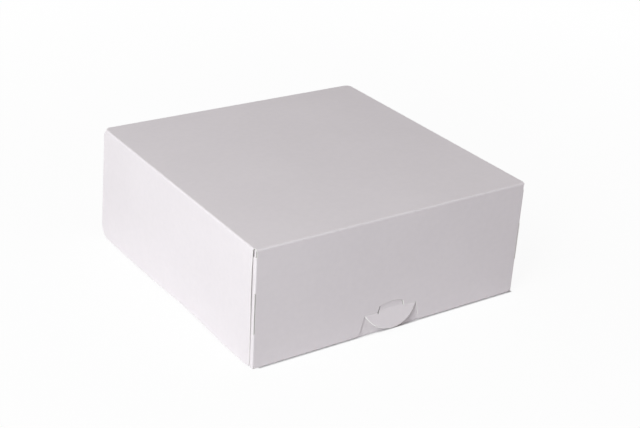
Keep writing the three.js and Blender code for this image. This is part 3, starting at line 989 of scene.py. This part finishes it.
edit(lock_tab_board)
bend_lines = [TAB_CREASE + TONGUE_BEND - BEND_HALF, TAB_CREASE + TONGUE_BEND + BEND_HALF]
for z in bend_lines:
    slice_all((0, 0, z), UP)
for z in bend_lines:
    pick("VERT", lambda p: p.z > z - BEND_REACH)
    bpy.ops.transform.rotate(
        value=(TONGUE_TILT - TAB_KICK) / len(bend_lines), orient_axis="X", orient_type="GLOBAL",
        center_override=(0, tab_axis[1], z))
bpy.ops.mesh.select_all(action="SELECT")
bpy.ops.transform.rotate(value=TAB_KICK, orient_axis="X", orient_type="GLOBAL", center_override=tab_axis)
leave_edit()
smooth(lock_tab_board)
place_piece(lock_tab_board, "lock_tab", "coated_board", "lock_tab", "lock_tongue_root", "lock_tongue")
print("  toe at y", round(min(v.co.y for v in lock_tab_board.data.vertices) / MM, 2), "mm")

# %% [markdown]
# ## The lock tab's two short creases
# Beside the tongue's feet the tab hangs on two short creases. Each is a thin bar of board that bends in
# its middle. It could be a quarter of a tube like the other folds, but the tab's fold is too slight for
# that, so the bar is cut into steps that turn a little more each.

# %% Lock tab creases
BAR_TURNS = ((-0.4, 1.0), (-0.2, 0.8), (0.0, 0.5), (0.2, 0.2))  # mm above the crease, share of the kick

for side in SIGNS:
    low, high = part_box(f"lock_tab_{side}_crease")
    bar = cutting_block(
        (low.x, front_face, TAB_CREASE - TAB_SETBACK), (high.x, front_face + BOARD, NOTCH_TOP))
    bar.name = bar.data.name = f"lock_{side}_fold"
    bar.data.materials[0] = creased["X"]
    edit(bar)
    for z, _ in BAR_TURNS[1:]:
        slice_all((0, 0, TAB_CREASE + z * MM), UP)
    for z, share in BAR_TURNS:
        pick("VERT", lambda p: abs(p.z - TAB_CREASE - z * MM) < SAME)
        bpy.ops.transform.rotate(
            value=share * TAB_KICK, orient_axis="X", orient_type="GLOBAL", center_override=tab_axis)
    leave_edit()
    mark_finishes(bar, OUT["front"])
    smooth(bar)
    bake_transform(bar)
    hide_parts(f"lock_tab_{side}_crease")
    print(bar.name, len(bar.data.vertices), "points")

# %% [markdown]
# ## Glue
# The films of dried carton glue lie between the glue flaps and the side walls. Their CAD solids have the
# right shape, so they only get a finish. Dried glue gives the eye a creamy, uneven film, glossy where it
# lies thick and dull where the board drank it.

# %% Dried carton glue
GLUE_CLOUD = 3  # mm between thick and thin places of the film

dried_glue, graph, shader = new_material("dried_carton_glue")
place = add_node(graph, "ShaderNodeTexCoord").outputs["Object"]
cloud = add_node(graph, "ShaderNodeTexNoise", {
    "Vector": place, "Scale": cycles_per_metre(GLUE_CLOUD), "Detail": 3.0})
tone = add_node(graph, "ShaderNodeMix", {
    "Factor": cloud.outputs["Fac"], "A": linear("#EFE6CC"), "B": linear("#F5EFDD")}, data_type="RGBA")
gloss = add_node(graph, "ShaderNodeMapRange", {
    "Value": cloud.outputs["Fac"], "From Min": 0.3, "From Max": 0.7, "To Min": 0.6, "To Max": 0.25})
bump = add_node(graph, "ShaderNodeBump", {
    "Height": cloud.outputs["Fac"], "Strength": 0.3, "Distance": BUMP_DEPTH})
dress(graph, shader, tone, gloss, bump)
for corner in CORNERS:
    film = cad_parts[f"{corner}_glue"]
    film.data.materials.clear()
    film.data.materials.append(dried_glue)
print("glue films dressed")

# %% [markdown]
# ## Table
# The box stands on a plain white table. Seen directly or in a reflection, the table is mostly its own
# white. For all other light it is plain white paint, so it bounces light as a table does and keeps the
# box's shadow. Close to the box the white gives way to the paint's own shade, so the box doesn't seem to
# float. Under the left flap a strip is kept plain white, which is painted light over its shade.

# %% Table top
TABLE_SIZE = 12  # metres
TABLE_DROP = 0.05 * MM  # the table lies a hair below the tray's floor

bpy.ops.object.select_all(action="DESELECT")
bpy.ops.mesh.primitive_plane_add(size=TABLE_SIZE, location=(0, 0, -TABLE_DROP))
table = settle("table", ())
print("table is", TABLE_SIZE, "m wide")

# %% How far a place on the table is from the box
SHIFT = 4.6 * MM  # leaves the strip under the left flap plain white, painted light over the shade there

table_paint = bpy.data.materials.new("white_table_paint")
table_paint.use_nodes = True
graph = table_paint.node_tree
graph.nodes.clear()
place = add_node(graph, "ShaderNodeTexCoord").outputs["Object"]
from_middle = add_node(graph, "ShaderNodeVectorMath", {
    0: place, 1: (SHIFT, 0, 0)}, operation="SUBTRACT")
either_side = add_node(graph, "ShaderNodeVectorMath", {
    0: from_middle.outputs["Vector"]}, operation="ABSOLUTE")
beyond = add_node(graph, "ShaderNodeVectorMath", {
    0: either_side.outputs["Vector"], 1: (right_face - SHIFT, -front_face, 0)}, operation="SUBTRACT")
outside = add_node(graph, "ShaderNodeVectorMath", {0: beyond.outputs["Vector"]}, operation="MAXIMUM")
away = add_node(graph, "ShaderNodeVectorMath", {0: outside.outputs["Vector"]}, operation="LENGTH")
print("the box's edge lies", round(-front_face / MM, 1), "mm to the front")

# %% Table paint
NEAR_WHITE, FAR_WHITE = 0.94, 0.995  # share of plain white in what is seen of the table, near and far
FAR = 0.7  # metres from the box
CONTACT = 0.8 * MM  # within this the table shows its own shade, as under the edge of the flaps


def seen_directly(graph):
    """1 for rays from the camera, from a reflection or through glass, and 0 for light that bounces."""
    rays = add_node(graph, "ShaderNodeLightPath").outputs
    first = add_node(graph, "ShaderNodeMath", {
        0: rays["Is Camera Ray"], 1: rays["Is Glossy Ray"]}, operation="ADD")
    return add_node(graph, "ShaderNodeMath", {
        0: first.outputs[0], 1: rays["Is Transmission Ray"]}, operation="ADD", use_clamp=True).outputs[0]


paint = add_node(graph, "ShaderNodeBsdfDiffuse", {"Color": linear("#F6F6F6")})
white = add_node(graph, "ShaderNodeEmission", {"Color": linear("#FFFFFF"), "Strength": 1.0})
contact = add_node(graph, "ShaderNodeMapRange", {"Value": away.outputs["Value"], "From Max": CONTACT})
whiteness = add_node(graph, "ShaderNodeMapRange", {
    "Value": away.outputs["Value"], "From Max": FAR, "To Min": NEAR_WHITE, "To Max": FAR_WHITE})
near_box = add_node(graph, "ShaderNodeMath", {
    0: contact.outputs["Result"], 1: whiteness.outputs["Result"]}, operation="MULTIPLY")
share = add_node(graph, "ShaderNodeMath", {
    0: seen_directly(graph), 1: near_box.outputs[0]}, operation="MULTIPLY")
mixed = add_node(graph, "ShaderNodeMixShader", {
    0: share.outputs[0], 1: paint.outputs["BSDF"], 2: white.outputs["Emission"]})
add_node(graph, "ShaderNodeOutputMaterial", {"Surface": mixed.outputs["Shader"]})
table.data.materials.append(table_paint)
print("table has", table_paint.name)

# %% [markdown]
# ## Backdrop
# The backdrop is white to the eye and dim as a light, so that it doesn't wash out the box. A large lit
# card could do that, but the world needs no modelling and reaches all round.

# %% Backdrop
SKY_LIGHT = 0.161  # strength of the world as a light

world = bpy.data.worlds.new("white_studio")
bpy.context.scene.world = world
world.use_nodes = True
graph = world.node_tree
graph.nodes.clear()
studio = add_node(graph, "ShaderNodeBackground", {"Color": linear("#FFEDF1"), "Strength": SKY_LIGHT})
backdrop = add_node(graph, "ShaderNodeBackground", {"Color": linear("#FFFFFF"), "Strength": 1.0})
sky = add_node(graph, "ShaderNodeMixShader", {
    0: seen_directly(graph), 1: studio.outputs["Background"], 2: backdrop.outputs["Background"]})
add_node(graph, "ShaderNodeOutputWorld", {"Surface": sky.outputs["Shader"]})
print("backdrop gives", SKY_LIGHT, "of plain white as light")

# %% [markdown]
# ## Light
# A large softbox stands high at the left and lights the left side most. A smaller, weaker one stands lower
# and further to the front, and lifts the lock tab out of the flap. The dim sky and the white table fill in
# the rest, so the shadows stay soft.

# %% Lights
AIM = Vector((0, 0, 0.05))  # the middle of the box, at half its height


def soft_light(name, place, width, power, tint):
    """A square softbox that looks at the box. place and width are in metres, power is in watts."""
    bpy.ops.object.select_all(action="DESELECT")
    bpy.ops.object.light_add(type="AREA", location=place)
    lamp = bpy.context.object
    lamp.name = name
    lamp.data.shape = "SQUARE"
    lamp.data.size = width
    lamp.data.energy = power
    lamp.data.color = linear(tint)[:3]
    lamp.rotation_euler = (AIM - Vector(place)).to_track_quat("-Z", "Y").to_euler()
    print(name, power, "W")


soft_light("key_softbox", place=(-1.86, -0.68, 2.03), width=1.2, power=42.9, tint="#FAFFFB")
soft_light("fill_softbox", place=(-2.17, -1.36, 1.19), width=0.5, power=22.9, tint="#F6FBFF")

# %% [markdown]
# ## Camera
# The lens, the place and the slight roll come from fitting the box's six visible corners in the
# photograph, which is 640 by 428 pixels.

# %% Camera
IMAGE_WIDTH = 640  # pixels
SENSOR_WIDTH = 36  # mm
FOCAL_PIXELS = 1255.4  # the lens's focal length, in pixels of the photograph
AZIMUTH, ELEVATION, ROLL = (math.radians(a) for a in (-34.57, 25.67, 3.19))
DISTANCE = 1.0916  # metres from the middle of the box
ASIDE, RAISED = 0.01305, -0.00249  # how far the camera stands to its own right and up, in metres

level = Vector((math.cos(AZIMUTH), math.sin(AZIMUTH), 0))
behind = Vector((math.sin(AZIMUTH), -math.cos(AZIMUTH), 0))
back = behind * math.cos(ELEVATION) + Vector(UP) * math.sin(ELEVATION)
upright = back.cross(level)
right = level * math.cos(ROLL) + upright * math.sin(ROLL)
up = upright * math.cos(ROLL) - level * math.sin(ROLL)
bpy.ops.object.select_all(action="DESELECT")
bpy.ops.object.camera_add(location=(0, 0, 0))
camera = bpy.context.object
camera.data.sensor_width = SENSOR_WIDTH
camera.data.lens = FOCAL_PIXELS * SENSOR_WIDTH / IMAGE_WIDTH
camera.data.clip_start = 0.01
turn = Matrix((right, up, back)).transposed().to_4x4()
camera.matrix_world = Matrix.Translation(AIM + back * DISTANCE + right * ASIDE + up * RAISED) @ turn
bpy.context.scene.camera = camera
print("lens", round(camera.data.lens, 2), "mm")

# %% [markdown]
# ## Finish
# The cage has done its work and goes. The colours are shown as they are.

# %% Finish
bpy.data.objects.remove(cage)
bpy.context.scene.view_settings.view_transform = "Standard"
